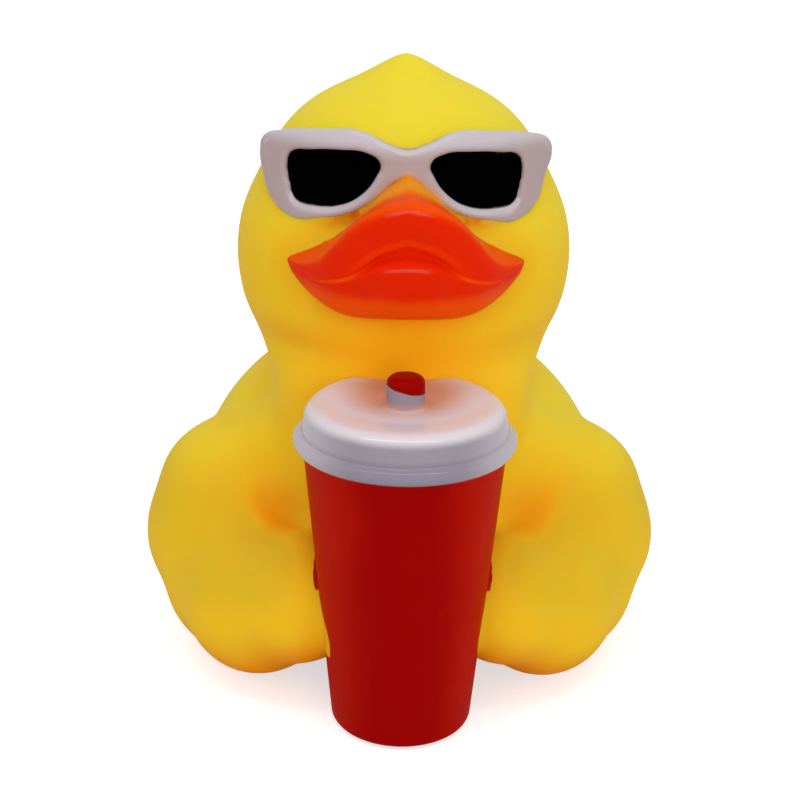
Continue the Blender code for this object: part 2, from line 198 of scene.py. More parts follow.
table = Finish(bpy.data.materials.new("white table"))
cloth = table.node("ShaderNodeBsdfDiffuse", {}, {"Color": TABLE_WHITE})
lift_strength = seen_directly(table) * TABLE_LIFT
lift = table.node("ShaderNodeEmission", {}, {"Color": WHITE_LIGHT, "Strength": lift_strength})
table.end(table.node("ShaderNodeAddShader", {}, {0: cloth, 1: lift}))

bm = bmesh.new()
bmesh.ops.create_grid(bm, x_segments=1, y_segments=1, size=FLOOR_HALF)
floor_mesh = bpy.data.meshes.new("table_top")
bm.to_mesh(floor_mesh)
bm.free()
floor = bpy.data.objects.new("table_top", floor_mesh)
floor.location.z = -FLOOR_DROP
floor_mesh.materials.append(table.owner)
bpy.context.scene.collection.objects.link(floor)

for name, place, (wide, deep), watts, mirrored in LAMPS:
    lamp = bpy.data.lights.new(name, "AREA")
    lamp.shape = "RECTANGLE"
    lamp.size = wide
    lamp.size_y = deep
    lamp.energy = watts
    stand = bpy.data.objects.new(name, lamp)
    stand.visible_glossy = mirrored
    stand.location = place
    stand.rotation_euler = (Vector(LAMP_AIM) - Vector(place)).to_track_quat("-Z", "Y").to_euler()
    bpy.context.scene.collection.objects.link(stand)


# Bill
# The upper and lower bill stand out from the face with the mouth between them. They are moulded in one
# with the head and sprayed orange-red by hand, more orange towards the nose. Painted light turns the bill's
# upward faces orange, and the chin's lighter orange is partly thin spray, partly painted reflection of the
# yellow below.
FACE_REACH = 22.2
MOUTH_HEIGHT = 61.0
BILL_ACROSS = (0.0, 3.5, 6.5, 9.0, 11.2, 13.2, 14.8, 15.6)
BILL_LINES = {
    # each line from the bill's middle to its corner: reach ahead of the face, rise above the mouth
    "brow root": (
        (-2.7, 12.2), (-1.5, 9.6), (-1.0, 6.3), (-1.6, 4.1),
        (-2.6, 2.7), (-4.1, 1.5), (-5.5, 0.7), (-6.3, 0.1),
    ),
    "upper lip back edge": (
        (7.4, 11.3), (7.0, 10.2), (5.6, 8.0), (3.7, 5.0),
        (1.4, 2.2), (-1.4, 0.8), (-3.8, 0.3), (-5.9, 0.0),
    ),
    "upper lip front edge": (
        (9.8, 10.2), (9.1, 9.2), (7.2, 7.1), (4.8, 4.2),
        (2.1, 1.5), (-1.0, 0.3), (-3.6, 0.0), (-5.8, -0.1),
    ),
    "upper lip lower edge": (
        (8.4, 5.9), (7.7, 4.6), (6.2, 2.1), (4.3, 0.6),
        (1.9, -0.2), (-1.1, -0.4), (-3.8, -0.3), (-5.9, -0.2),
    ),
    "mouth": (
        (6.9, 4.5), (6.4, 3.4), (5.1, 1.3), (3.5, 0.1),
        (1.4, -0.5), (-1.4, -0.7), (-4.0, -0.5), (-5.9, -0.2),
    ),
    "lower lip back edge": (
        (8.2, 3.2), (7.6, 2.6), (6.0, 1.0), (4.0, -0.1),
        (1.6, -0.8), (-1.4, -0.9), (-4.0, -0.6), (-6.0, -0.3),
    ),
    "lower lip front edge": (
        (8.6, 2.5), (8.0, 2.0), (6.3, 0.5), (4.3, -0.6),
        (1.8, -1.2), (-1.3, -1.2), (-3.9, -0.8), (-6.0, -0.3),
    ),
    "lower lip face": (
        (7.0, -1.0), (6.5, -1.3), (4.5, -2.3), (2.7, -2.8),
        (0.4, -2.6), (-2.0, -2.0), (-4.3, -1.2), (-6.1, -0.4),
    ),
    "underside": (
        (3.8, -5.2), (3.5, -5.2), (2.0, -5.5), (0.6, -5.2),
        (-1.0, -4.3), (-3.0, -3.1), (-4.9, -1.7), (-6.2, -0.5),
    ),
    "chin root": (
        (-2.5, -6.6), (-2.5, -6.7), (-3.0, -6.6), (-3.6, -6.2),
        (-4.4, -5.2), (-5.3, -3.8), (-6.3, -2.0), (-6.5, -0.6),
    ),
}
BILL_STEPS = 5
BILL_ROOT_DEPTH = 3.5
BILL_INNER = 0.9
BILL_GRID = 0.22
FAR = 9.0
MOUTH_BACK = -27.5
NOSE_REACH = 29.0
LIP_SHINE = 0.16
LIP_SHINE_REACH = 3.4
BILL_RED = (0.86, 0.020, 0.0006)
BILL_EDGE_HIGHLIGHT = (0.94, 0.040, 0.0008)
BILL_LIT_ORANGE = (0.94, 0.080, 0.0010)
NOSE_ORANGE = (0.98, 0.31, 0.001)


def smooth_through(rows, steps):
    """Points on a smooth curve through rows of numbers, with the rows themselves kept."""
    made = []
    last = len(rows) - 1
    for i in range(last):
        before, start, end, after = (rows[min(max(i + k, 0), last)] for k in (-1, 0, 1, 2))
        for step in range(steps):
            t = step / steps
            row = []
            for a, b, c, d in zip(before, start, end, after):
                bend = (2 * a - 5 * b + 4 * c - d) * t**2 + (3 * b - a - 3 * c + d) * t**3
                row.append(0.5 * (2 * b + (c - a) * t + bend))
            made.append(tuple(row))
    made.append(tuple(rows[last]))
    return made


def bridge(bm, rings):
    """Quads between rings of as many vertices each, with a face over each end."""
    count = len(rings[0])
    for lower, upper in zip(rings, rings[1:]):
        for i in range(count):
            j = (i + 1) % count
            bm.faces.new((lower[i], lower[j], upper[j], upper[i]))
    bm.faces.new(rings[0])
    bm.faces.new(rings[-1])


def add_object(name, bm):
    """An object from bmesh geometry drawn in millimetres, at the origin."""
    bmesh.ops.recalc_face_normals(bm, faces=bm.faces)
    bmesh.ops.scale(bm, vec=(MM, MM, MM), verts=bm.verts)
    mesh = bpy.data.meshes.new(name)
    bm.to_mesh(mesh)
    bm.free()
    obj = bpy.data.objects.new(name, mesh)
    bpy.context.scene.collection.objects.link(obj)
    return obj


def make_bill(shrink=0.0):
    """The whole bill, with its lips drawn back and in by the shrink."""
    stations = []
    for across, points in zip(BILL_ACROSS, zip(*BILL_LINES.values())):
        stations.append((across,) + tuple(c for point in points for c in point))
    half = smooth_through(stations, BILL_STEPS)
    bm = bmesh.new()
    rings = []
    for row in [(-row[0],) + row[1:] for row in reversed(half[1:])] + half:
        across = row[0]
        ring = []
        for reach, rise in smooth_through(list(zip(row[1::2], row[2::2])), BILL_STEPS):
            up = MOUTH_HEIGHT + rise * (1 - shrink / 10)
            ring.append(bm.verts.new((across, -FACE_REACH - reach + shrink, up)))
        for end in (ring[-1], ring[0]):
            ring.append(bm.verts.new((across * BILL_INNER, end.co.y + BILL_ROOT_DEPTH, end.co.z)))
        rings.append(ring)
    bridge(bm, rings)
    return add_object("bill_form", bm)


def settle(obj):
    """Replaces an object's mesh by what its modifiers make of it."""
    graph = bpy.context.evaluated_depsgraph_get()
    made = bpy.data.meshes.new_from_object(obj.evaluated_get(graph))
    obj.modifiers.clear()
    obj.data = made


def fuse(obj, grid, soften):
    """Makes one closed skin of overlapping forms, and softens it by so many passes."""
    step = obj.modifiers.new("fuse forms", "REMESH")
    step.mode = "VOXEL"
    step.voxel_size = grid * MM
    if soften:
        smooth = obj.modifiers.new("soften", "SMOOTH")
        smooth.factor = 0.5
        smooth.iterations = soften
    settle(obj)


def points_of(obj):
    """An object's points in millimetres, one row each."""
    flat = np.empty(len(obj.data.vertices) * 3, np.float32)
    obj.data.vertices.foreach_get("co", flat)
    return flat.reshape(-1, 3).astype(float) / MM


def write_mark(obj, name, values):
    mark = obj.data.attributes.new(name, "FLOAT", "POINT")
    mark.data.foreach_set("value", np.asarray(values, np.float32))


def from_line(points, name):
    """How far points lie from one of the bill's lines, on either side of its middle."""
    line = zip(BILL_ACROSS, BILL_LINES[name])
    rows = [(across, -FACE_REACH - reach, MOUTH_HEIGHT + rise) for across, (reach, rise) in line]
    folded = np.where(points[:, :1] < 0, points * (-1, 1, 1), points)
    away = np.full(len(points), FAR)
    for spot in smooth_through(rows, 12):
        away = np.minimum(away, np.linalg.norm(folded - spot, axis=1))
    return away


bill = make_bill()
bill.name = "bill"
fuse(bill, BILL_GRID, 2)
points = points_of(bill)
write_mark(bill, "from_upper_lip", from_line(points, "upper lip front edge"))
write_mark(bill, "from_band", from_line(points, "upper lip lower edge"))
write_mark(bill, "from_lower_lip", from_line(points, "lower lip front edge"))
spray = Finish(bpy.data.materials.new("orange-red spray"))
where = spray.place()
x, y, z = spray.split(where)
beside = (x * x) ** 0.5
mist = spray.noise(where, 2.5, 3.0) - 0.5
# Painted light: faces that turn upwards are painted a lighter orange, except inside the mouth.
top = spray.ramp(spray.upward() + mist * 0.3, -0.15, 0.6)
in_mouth = spray.ramp(y, MOUTH_BACK, MOUTH_BACK - 1.5)
in_mouth = in_mouth * spray.ramp(z, MOUTH_HEIGHT + 6.0, MOUTH_HEIGHT + 5.0)
colour = spray.blend(top * (1 - in_mouth), BILL_RED, BILL_LIT_ORANGE)
# Painted highlight: the upper lip's lower edge is painted a lighter orange-red, as if it caught the light.
band_highlight = spray.ramp(spray.mark("from_band"), 0.9, 0.3) * spray.ramp(beside, 9.0, 5.0)
colour = spray.blend(band_highlight * 0.8, colour, BILL_EDGE_HIGHLIGHT)
nose = spray.ramp(y + mist * 1.5, -NOSE_REACH, 4.5 - NOSE_REACH)
nose = nose * spray.ramp(z, MOUTH_HEIGHT + 5.5, MOUTH_HEIGHT + 9.5)
colour = spray.blend(nose, colour, NOSE_ORANGE)
# Lighter orange towards the chin: partly thinner spray, partly painted reflection of the yellow vinyl below.
chin = spray.ramp(z + mist * 0.8, MOUTH_HEIGHT - 1.2, MOUTH_HEIGHT - 3.4)
colour = spray.blend(chin, colour, BILL_LIT_ORANGE)
upper_shine = spray.ramp(spray.mark("from_upper_lip"), LIP_SHINE * 2, LIP_SHINE)
lower_shine = spray.ramp(spray.mark("from_lower_lip"), LIP_SHINE * 2, LIP_SHINE)
shine = (upper_shine + lower_shine) * spray.ramp(beside, LIP_SHINE_REACH, LIP_SHINE_REACH / 2)
spray.end(
    spray.node(
        "ShaderNodeBsdfPrincipled",
        {},
        {
            "Base Color": colour,
            "Roughness": 0.34 + mist * 0.1,
            "Specular IOR Level": 0.02,
            "Coat Weight": shine,
            "Coat Roughness": 0.10,
            "Coat IOR": 1.7,
            "Subsurface Weight": 0.3,
            "Subsurface Radius": (1.0, 0.3, 0.05),
            "Subsurface Scale": 0.002,
            "Normal": spray.bump(spray.noise(where, 3.0), 0.08),
        },
    )
)
bill.data.materials.append(spray.owner)
bill.data.shade_smooth()
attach(bill, "root")


# Sunglasses
# Frame, panes and arms are one lump of vinyl on the face, sprayed white, with the panes brushed glossy
# black. The white is a thick satin coat with a cool cast, and some of the bill's orange drifts on to it.
EYE_HEIGHT = 72.0
FRAME_PROUD = 2.4
FRAME_DEPTH = 6.5
FRAME_DRAFT = 0.04
FRAME_EDGE = 0.9
FACE_AT_EYES = FACE_REACH * 0.83
FRAME_WRAP = 0.0325
FRAME_RAKE = 0.32
LENS_SINK = 1.5
LENS_RAKE = 0.44
GLASSES_SKEW = 0.6
SKEW_START = 1.5
SKEW_FADE = 2.0
LENS_DEPTH = 5.0
LENS_LAP = 0.4
PLATE_STEP = 1.0
GLASSES_GRID = 0.24
FRAME_OUTLINE = (
    # half outline from the bridge's top to its underside: across, then above the eye line
    (0.0, 4.0), (2.4, 4.7), (6.0, 6.2), (11.0, 5.9), (16.6, 4.8), (19.1, 3.5), (19.6, 1.4),
    (18.7, -0.8), (17.4, -4.2), (14.6, -6.0), (10.6, -5.4), (4.8, -3.3), (2.3, -1.4), (1.2, -0.2), (0.0, 0.3),
)
LENS_OUTLINE = (
    (2.9, 2.2), (4.6, 3.4), (8.0, 3.5), (12.0, 3.0), (14.5, 2.3), (15.1, 1.0),
    (14.9, -1.6), (14.0, -3.9), (11.2, -4.2), (7.9, -3.5), (5.2, -1.8), (3.4, 0.6),
)
TEMPLE_HEIGHT = 1.8
TEMPLE_THICKNESS = 1.2
TEMPLE_SEGMENTS = 24
TEMPLE_STATIONS = (
    # back from the neck's axis, outwards from the frame's end, rise above the eye line, share of its size
    (-9.0, -0.4, 1.5, 1.0),
    (-5.0, 0.0, 1.2, 1.0),
    (-1.0, 0.2, 0.5, 0.95),
    (3.0, -0.2, -0.3, 0.85),
    (7.0, -1.0, -1.1, 0.6),
)
FRAME_SHADED_WHITE = (0.46, 0.345, 0.335)
FRAME_LIT_WHITE = (0.62, 0.56, 0.60)
PANE_BLACK = (0.0006, 0.0006, 0.0006)
RED_FLECK = (15.4, -13.4, 76.3)
FLECK_RED = (0.45, 0.05, 0.08)


def take_in(obj, others):
    """Adds the meshes of other objects to an object and removes them."""
    bm = bmesh.new()
    bm.from_mesh(obj.data)
    for other in others:
        bm.from_mesh(other.data)
        bpy.data.objects.remove(other)
    bm.to_mesh(obj.data)
    bm.free()


def flat_form(name, outlines, depth, edge=0.0, grow=0.0):
    """A plate with rounded edges cut to smooth closed outlines, its front at Z = 0 and its back below."""
    curve = bpy.data.curves.new(name, "CURVE")
    curve.dimensions = "2D"
    curve.fill_mode = "BOTH"
    curve.resolution_u = 10
    curve.extrude = (depth / 2 - edge) * MM
    curve.bevel_depth = edge * MM
    curve.bevel_resolution = 4
    curve.offset = (grow - edge) * MM
    for outline in outlines:
        spline = curve.splines.new("BEZIER")
        spline.bezier_points.add(len(outline) - 1)
        for point, (x, y) in zip(spline.bezier_points, outline):
            point.co = (x * MM, y * MM, 0.0)
            point.handle_left_type = point.handle_right_type = "AUTO"
        spline.use_cyclic_u = True
    drawn = bpy.data.objects.new(name, curve)
    bpy.context.scene.collection.objects.link(drawn)
    graph = bpy.context.evaluated_depsgraph_get()
    bm = bmesh.new()
    bm.from_mesh(bpy.data.meshes.new_from_object(drawn.evaluated_get(graph)))
    bpy.data.objects.remove(drawn)
    bmesh.ops.scale(bm, vec=(1 / MM,) * 3, verts=bm.verts)
    bmesh.ops.translate(bm, vec=(0, 0, -depth / 2), verts=bm.verts)
    bmesh.ops.remove_doubles(bm, verts=bm.verts, dist=0.001)
    reach = math.ceil(max(abs(v.co.x) for v in bm.verts) / PLATE_STEP)
    for step in range(-reach, reach + 1):
        whole = bm.verts[:] + bm.edges[:] + bm.faces[:]
        cut = (step * PLATE_STEP, 0, 0)
        bmesh.ops.bisect_plane(bm, geom=whole, plane_co=cut, plane_no=(1, 0, 0), dist=0.0001)
    bmesh.ops.triangulate(bm, faces=bm.faces)
    return add_object(name, bm)


def wrap_round_face(obj, proud, rake):
    """Bends a flat form drawn in X and Y, with its front at Z = 0, round the face at eye level."""
    for v in obj.data.vertices:
        across, up, front = (c / MM for c in v.co)
        y = -FACE_AT_EYES - proud + FRAME_WRAP * across**2 + rake * up - front
        v.co = Vector((across, y, EYE_HEIGHT + up * (1 + FRAME_DRAFT * front))) * MM


def lens_outline(side):
    """A pane's outline on the right (1) or the left (-1), where it sits a little further out."""
    skew = GLASSES_SKEW if side < 0 else 0.0
    return [(side * (x + skew), y) for x, y in LENS_OUTLINE]


def frame_outline():
    """Both rims with the bridge between them; the left one leans outwards towards its foot."""
    right = list(FRAME_OUTLINE)
    left = []
    for x, y in reversed(right[1:-1]):
        lean = min(1.0, max(0.0, (SKEW_START - y) / SKEW_FADE))
        left.append((-x - GLASSES_SKEW * lean, y))
    return right + left


def make_glasses(shrink):
    """Frame, panes and arms in one, with every face drawn in by the shrink."""
    outlines = [frame_outline(), lens_outline(1), lens_outline(-1)]
    frame_form = flat_form("frame_form", outlines, FRAME_DEPTH, FRAME_EDGE, -shrink)
    wrap_round_face(frame_form, FRAME_PROUD - shrink, FRAME_RAKE)
    parts = []
    for outline in outlines[1:]:
        pane = flat_form("pane_form", [outline], LENS_DEPTH, grow=LENS_LAP + shrink)
        wrap_round_face(pane, FRAME_PROUD - LENS_SINK - shrink, LENS_RAKE)
        parts.append(pane)
    beside = max(across for across, _ in FRAME_OUTLINE) - TEMPLE_THICKNESS
    for side in (-1, 1):
        bm = bmesh.new()
        rings = []
        for y, out, rise, size in smooth_through(TEMPLE_STATIONS, 4):
            ring = []
            for i in range(TEMPLE_SEGMENTS):
                turn = 2 * math.pi * i / TEMPLE_SEGMENTS
                across = side * (beside + out + (TEMPLE_THICKNESS - shrink) * size * math.cos(turn))
                up = rise + (TEMPLE_HEIGHT - shrink) * size * math.sin(turn)
                ring.append(bm.verts.new((across, y, EYE_HEIGHT + up)))
            rings.append(ring)
        bridge(bm, rings)
        parts.append(add_object("arm_form", bm))
    take_in(frame_form, parts)
    return frame_form


def distance_inside(points, outline):
    """How far flat points lie inside a closed outline, less than 0 outside it."""
    corners = np.array(outline, float)
    ends = np.roll(corners, -1, axis=0)
    nearest = np.full(len(points), 1e9)
    inside = np.zeros(len(points), bool)
    for a, b in zip(corners, ends):
        along = np.clip(((points - a) @ (b - a)) / ((b - a) @ (b - a)), 0, 1)
        nearest = np.minimum(nearest, np.linalg.norm(points - a - along[:, None] * (b - a), axis=1))
        crosses = (a[1] > points[:, 1]) != (b[1] > points[:, 1])
        if a[1] != b[1]:
            edge = (b[0] - a[0]) * (points[:, 1] - a[1]) / (b[1] - a[1]) + a[0]
            inside ^= crosses & (points[:, 0] < edge)
    return np.where(inside, nearest, -nearest)


def smooth_outline(outline):
    """A closed outline with points added on a smooth curve between its own."""
    looped = [outline[-1], *outline, outline[0], outline[1]]
    return smooth_through(looped, 6)[6:-6][:-1]


def inside_bill(points):
    """How far points lie inside the bill's outline as seen from the front."""
    top = [(across, rise) for across, (_, rise) in zip(BILL_ACROSS, BILL_LINES["brow root"])]
    under = [(across, rise) for across, (_, rise) in zip(BILL_ACROSS, BILL_LINES["chin root"])]
    half = smooth_through(top, 4) + smooth_through(under, 4)[::-1]
    flat = np.column_stack([np.abs(points[:, 0]), points[:, 2] - MOUTH_HEIGHT])
    return distance_inside(flat, half + [(-x, y) for x, y in reversed(half[1:-1])])


glasses = make_glasses(0.0)
glasses.name = "sunglasses"
fuse(glasses, GLASSES_GRID, 3)
points = points_of(glasses)
up = points[:, 2] - EYE_HEIGHT
sunk = points[:, 1] + FACE_AT_EYES + FRAME_PROUD - FRAME_WRAP * points[:, 0] ** 2 - FRAME_RAKE * up
flat = np.column_stack([points[:, 0], up])
panes = [distance_inside(flat, smooth_outline(lens_outline(side))) for side in (1, -1)]
write_mark(glasses, "sunk", sunk)
write_mark(glasses, "pane", np.maximum(*panes))
write_mark(glasses, "inside_bill", inside_bill(points))

paint = Finish(bpy.data.materials.new("white and black paint"))
where = paint.place()
ragged = paint.noise(where, 1.4) - 0.5
black = paint.ramp(paint.mark("sunk") + ragged * 0.06, 0.85, 1.05)
black = black * paint.ramp(paint.mark("pane"), -0.7, -0.5)
cloudy = paint.noise(where, 5.0)
x, y, z = paint.split(where)
# Painted light and shade on the white: level tops get the cool lit white, lower faces that are not level a
# darker, warmer shaded white with the yellow's glow in it.
low = paint.ramp(z, EYE_HEIGHT + 5.0, EYE_HEIGHT + 2.5)
level = paint.ramp(paint.upward() + (cloudy - 0.5) * 0.3, 0.3, 0.9)
white = paint.blend(low * (1 - level), FRAME_LIT_WHITE, FRAME_SHADED_WHITE)
drift = paint.ramp(paint.mark("inside_bill") + ragged * 0.8, -0.8, 0.5)
white = paint.blend(drift * 0.6, white, NOSE_ORANGE)
white = paint.blend(paint.fleck(where, RED_FLECK, 0.25), white, FLECK_RED)
wavy = paint.noise(where, 3.5, 1.0)
paint.end(
    paint.node(
        "ShaderNodeBsdfPrincipled",
        {},
        {
            "Base Color": paint.blend(black, white, PANE_BLACK),
            "Roughness": 0.34 + cloudy * 0.08,
            "Specular IOR Level": 0.0,
            "Coat Weight": (1 - black) * 0.9,
            "Coat Roughness": 0.10,
            "Normal": paint.bump(wavy, 0.12),
        },
    )
)
glasses.data.materials.append(paint.owner)
glasses.data.shade_smooth()
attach(glasses, "root")


# Cup, lid and straw stub
# A tapered cup with a snap-on lid and a short straw, turned about one upright axis in front of the chest.
# They are moulded in one with the duck, under thick red and glossy white paint that was brushed on by hand.
CUP_AHEAD = 28.4
CUP_FOOT_RADIUS = 9.5
CUP_FOOT_FILLET = 1.2
CUP_MOUTH_RADIUS = 13.15
CUP_HEIGHT = 39.6
LID_RIM_RADIUS = 14.45
LID_RIM_ROUND = 1.1
LID_SIDE_RADIUS = 13.4
LID_GROOVE_DEPTH = 0.15
LID_GROOVE_RISE = 2.35
LID_SHOULDER_RADIUS = 13.1
LID_CREST_RISE = 6.0
LID_CREST_ROUND = 2.2
LID_PAN_RADIUS = 5.0
LID_PAN_RISE = 5.35
STRAW_RADIUS = 2.45
STRAW_RISE = 9.5
STRAW_EDGE = 1.0
STRAW_FILLET = 0.5
TURNED_SEGMENTS = 144
WING_LAP_LEFT = 2.5
WING_LAP_RIGHT = 0.9
WING_LAP_TOP = 19.0
WING_LAP_FOOT = 9.8
STRAW_PAINT_DEPTH = 1.7
BOUNCE_PLACE = (0.0, -24.5, CUP_HEIGHT + 5.5)
LAP_YELLOW = (0.93, 0.50, 0.010)
CUP_RED = (0.36, 0.0010, 0.0004)
RED_SPILL_AND_LIT_SIDES = (0.52, 0.008, 0.0008)
STRAW_RED = (0.33, 0.0015, 0.0006)
LID_WHITE = (0.80, 0.73, 0.78)
LID_SHADE = (0.34, 0.285, 0.35)
LID_RIM_SHADE = (0.28, 0.245, 0.31)
LID_PEACH_REFLECTION = (0.68, 0.37, 0.26)


def arc(centre_r, centre_z, radius, start_deg, end_deg, steps):
    """Profile points (radius, height) round an arc."""
    made = []
    for i in range(steps + 1):
        turn = math.radians(start_deg + (end_deg - start_deg) * i / steps)
        made.append((centre_r + radius * math.cos(turn), centre_z + radius * math.sin(turn)))
    return made


def cup_profile(step):
    """The cup and its lid from the foot's middle up to the straw stub's middle, in short steps."""
    foot = CUP_FOOT_RADIUS - CUP_FOOT_FILLET
    rim = LID_RIM_ROUND
    crest = LID_CREST_ROUND
    groove = CUP_HEIGHT + LID_GROOVE_RISE
    pan = CUP_HEIGHT + LID_PAN_RISE
    corners = [(0.0, 0.0), (foot, 0.0)]
    corners += arc(foot, CUP_FOOT_FILLET, CUP_FOOT_FILLET, -80, 0, 8)
    corners += [(CUP_MOUTH_RADIUS, CUP_HEIGHT)]
    corners += arc(LID_RIM_RADIUS - rim, CUP_HEIGHT + rim, rim, -80, 50, 14)
    corners += [(LID_SIDE_RADIUS - LID_GROOVE_DEPTH, groove)]
    corners += [(LID_SIDE_RADIUS, groove + LID_GROOVE_DEPTH * 2)]
    corners += arc(LID_SHOULDER_RADIUS - crest, CUP_HEIGHT + LID_CREST_RISE - crest, crest, 0, 95, 14)
    drop = corners[-1]
    for i in range(1, 9):
        ease = (1 - math.cos(math.pi * i / 8)) / 2
        inwards = (LID_PAN_RADIUS - 1.5 - drop[0]) * i / 8
        corners.append((drop[0] + inwards, drop[1] + (pan - drop[1]) * ease))
    corners += arc(STRAW_RADIUS + STRAW_FILLET, pan + STRAW_FILLET, STRAW_FILLET, 270, 180, 6)
    corners += arc(STRAW_RADIUS - STRAW_EDGE, CUP_HEIGHT + STRAW_RISE - STRAW_EDGE, STRAW_EDGE, 0, 90, 8)
    corners += [(0.0, CUP_HEIGHT + STRAW_RISE)]
    made = [corners[0]]
    for (r0, z0), (r1, z1) in zip(corners, corners[1:]):
        parts = max(1, math.ceil(math.dist((r0, z0), (r1, z1)) / step))
        made += [(r0 + (r1 - r0) * i / parts, z0 + (z1 - z0) * i / parts) for i in range(1, parts + 1)]
    return made


def lathe(name, profile, finish):
    """A closed form turned about the cup's axis, made by Geometry Nodes that lay a grid round the axis."""
    tree = bpy.data.node_groups.new(name + "_turning", "GeometryNodeTree")
    inputs = {"Profile": "Geometry", "Segments": "Int", "Axis Ahead": "Float", "Finish": "Material"}
    for label, kind in inputs.items():
        tree.interface.new_socket(label, in_out="INPUT", socket_type="NodeSocket" + kind)
    tree.interface.new_socket("Turned", in_out="OUTPUT", socket_type="NodeSocketGeometry")

    def add(kind, settings, sockets):
        made = tree.nodes.new(kind)
        for key, value in settings.items():
            setattr(made, key, value)
        for key, value in sockets.items():
            if isinstance(value, bpy.types.NodeSocket):
                tree.links.new(value, made.inputs[key])
            else:
                made.inputs[key].default_value = value
        return made

    given = add("NodeGroupInput", {}, {}).outputs
    ring = add("GeometryNodeCurvePrimitiveCircle", {}, {"Resolution": given["Segments"], "Radius": 1.0})
    line = add("GeometryNodeMeshToCurve", {}, {"Mesh": given["Profile"]})
    sweep = {"Curve": ring.outputs["Curve"], "Profile Curve": line.outputs["Curve"]}
    swept = add("GeometryNodeCurveToMesh", {}, sweep)
    ahead = add("ShaderNodeMath", {"operation": "MULTIPLY"}, {0: given["Axis Ahead"], 1: -1.0})
    offset = add("ShaderNodeCombineXYZ", {}, {"Y": ahead.outputs[0]})
    shift = {"Geometry": swept.outputs["Mesh"], "Offset": offset.outputs[0]}
    moved = add("GeometryNodeSetPosition", {}, shift)
    closed = add("GeometryNodeMergeByDistance", {}, {"Geometry": moved.outputs[0], "Distance": 0.00001})
    whole = add("GeometryNodeRealizeInstances", {}, {"Geometry": closed.outputs[0]})
    dress = {"Geometry": whole.outputs[0], "Material": given["Finish"]}
    dressed = add("GeometryNodeSetMaterial", {}, dress)
    add("NodeGroupOutput", {}, {"Turned": dressed.outputs[0]})

    mesh = bpy.data.meshes.new(name)
    # the ring's radius is 1, so the profile is drawn from there
    spots = [(radius * MM - 1.0, -height * MM, 0.0) for radius, height in profile]
    mesh.from_pydata(spots, [(i, i + 1) for i in range(len(profile) - 1)], [])
    obj = bpy.data.objects.new(name, mesh)
    bpy.context.scene.collection.objects.link(obj)
    turned = obj.modifiers.new("turned", "NODES")
    turned.node_group = tree
    sockets = {item.name: item.identifier for item in tree.interface.items_tree if item.in_out == "INPUT"}
    turned[sockets["Segments"]] = TURNED_SEGMENTS
    turned[sockets["Axis Ahead"]] = CUP_AHEAD * MM
    turned[sockets["Finish"]] = finish
    settle(obj)
    bm = bmesh.new()
    bm.from_mesh(obj.data)
    bmesh.ops.recalc_face_normals(bm, faces=bm.faces)
    bm.to_mesh(obj.data)
    bm.free()
    return obj


red_white = Finish(bpy.data.materials.new("red and white gloss"))
where = red_white.place()
x, y, z = red_white.split(where)
ragged = red_white.noise(where, 1.6, 3.0) - 0.5
cloudy = red_white.noise(where, 9.0, 3.0)
beside = (x * x) ** 0.5
# Painted light: the cup's red is lighter towards its left and right sides.
red = red_white.blend(red_white.ramp(beside + cloudy * 3.0, 5.0, 12.0), CUP_RED, RED_SPILL_AND_LIT_SIDES)
lap = red_white.ramp(x, -2.0, 2.0) * (WING_LAP_RIGHT - WING_LAP_LEFT) + WING_LAP_LEFT
lap = lap * red_white.ramp(z, WING_LAP_TOP, WING_LAP_TOP - 7.0)
lap = lap * red_white.ramp(z, WING_LAP_FOOT, WING_LAP_FOOT + 1.0)
lapped = lap - red_white.mark("from_wing") + ragged * 0.6
red = red_white.blend(red_white.ramp(lapped, -0.06, 0.06), red, LAP_YELLOW)
# Painted light and shade on the lid: the level faces of the crest are white, its sides and rim a darker shade
# that lightens towards the left and right ends.
crest_here = red_white.ramp(red_white.upward() + (cloudy - 0.5) * 0.2, 0.25, 0.8)
crest_here = crest_here * red_white.ramp(z, CUP_HEIGHT + 3.0, CUP_HEIGHT + 4.5)
side_shade = red_white.blend(red_white.ramp(z, CUP_HEIGHT + 3.0, CUP_HEIGHT + 1.5), LID_SHADE, LID_RIM_SHADE)
side_shade = red_white.blend(red_white.ramp(beside + cloudy * 2.0, 7.0, 15.0) * 0.5, side_shade, LID_WHITE)
white = red_white.blend(crest_here, side_shade, LID_WHITE)
# Painted reflection of the yellow chest, in peach, on the back of the lid's top.
bounce = red_white.away_from(where, BOUNCE_PLACE)
white = red_white.blend(red_white.ramp(bounce + ragged, 10.4, 4.0), white, LID_PEACH_REFLECTION)
lid_here = red_white.ramp(z + ragged * 0.5, CUP_HEIGHT - 0.10, CUP_HEIGHT + 0.05)
from_axis = x * x + (y + CUP_AHEAD) * (y + CUP_AHEAD)
pan_height = CUP_HEIGHT + LID_PAN_RISE
# Painted shade round the straw's foot.
nub = red_white.ramp(from_axis, 9.5, 7.5) * red_white.ramp(z, pan_height, pan_height + 1.5)
white = red_white.blend(nub, white, LID_SHADE)
straw_edge = CUP_HEIGHT + STRAW_RISE - STRAW_PAINT_DEPTH
straw_here = red_white.ramp(z + x * 0.22 + ragged * 0.3, straw_edge - 0.08, straw_edge + 0.08)
straw_here = straw_here * red_white.ramp(from_axis, 14.0, 12.0)
colour = red_white.blend(lid_here, red, white)
colour = red_white.blend(straw_here, colour, STRAW_RED)
wavy = red_white.noise(where, 4.5, 3.0)
glossy = lid_here * (1 - straw_here * 0.9) * red_white.ramp(bounce, 10.0, 12.5)
red_white.end(
    red_white.node(
        "ShaderNodeBsdfPrincipled",
        {},
        {
            "Base Color": colour,
            "Roughness": 0.36 + cloudy * 0.06,
            "Specular IOR Level": 0.02,
            "Coat Weight": glossy,
            "Coat Roughness": 0.11,
            "Normal": red_white.bump(wavy, 0.10),
        },
    )
)
cup = lathe("cup_and_lid", cup_profile(0.8), red_white.owner)
cup.data.shade_smooth()
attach(cup, "root")
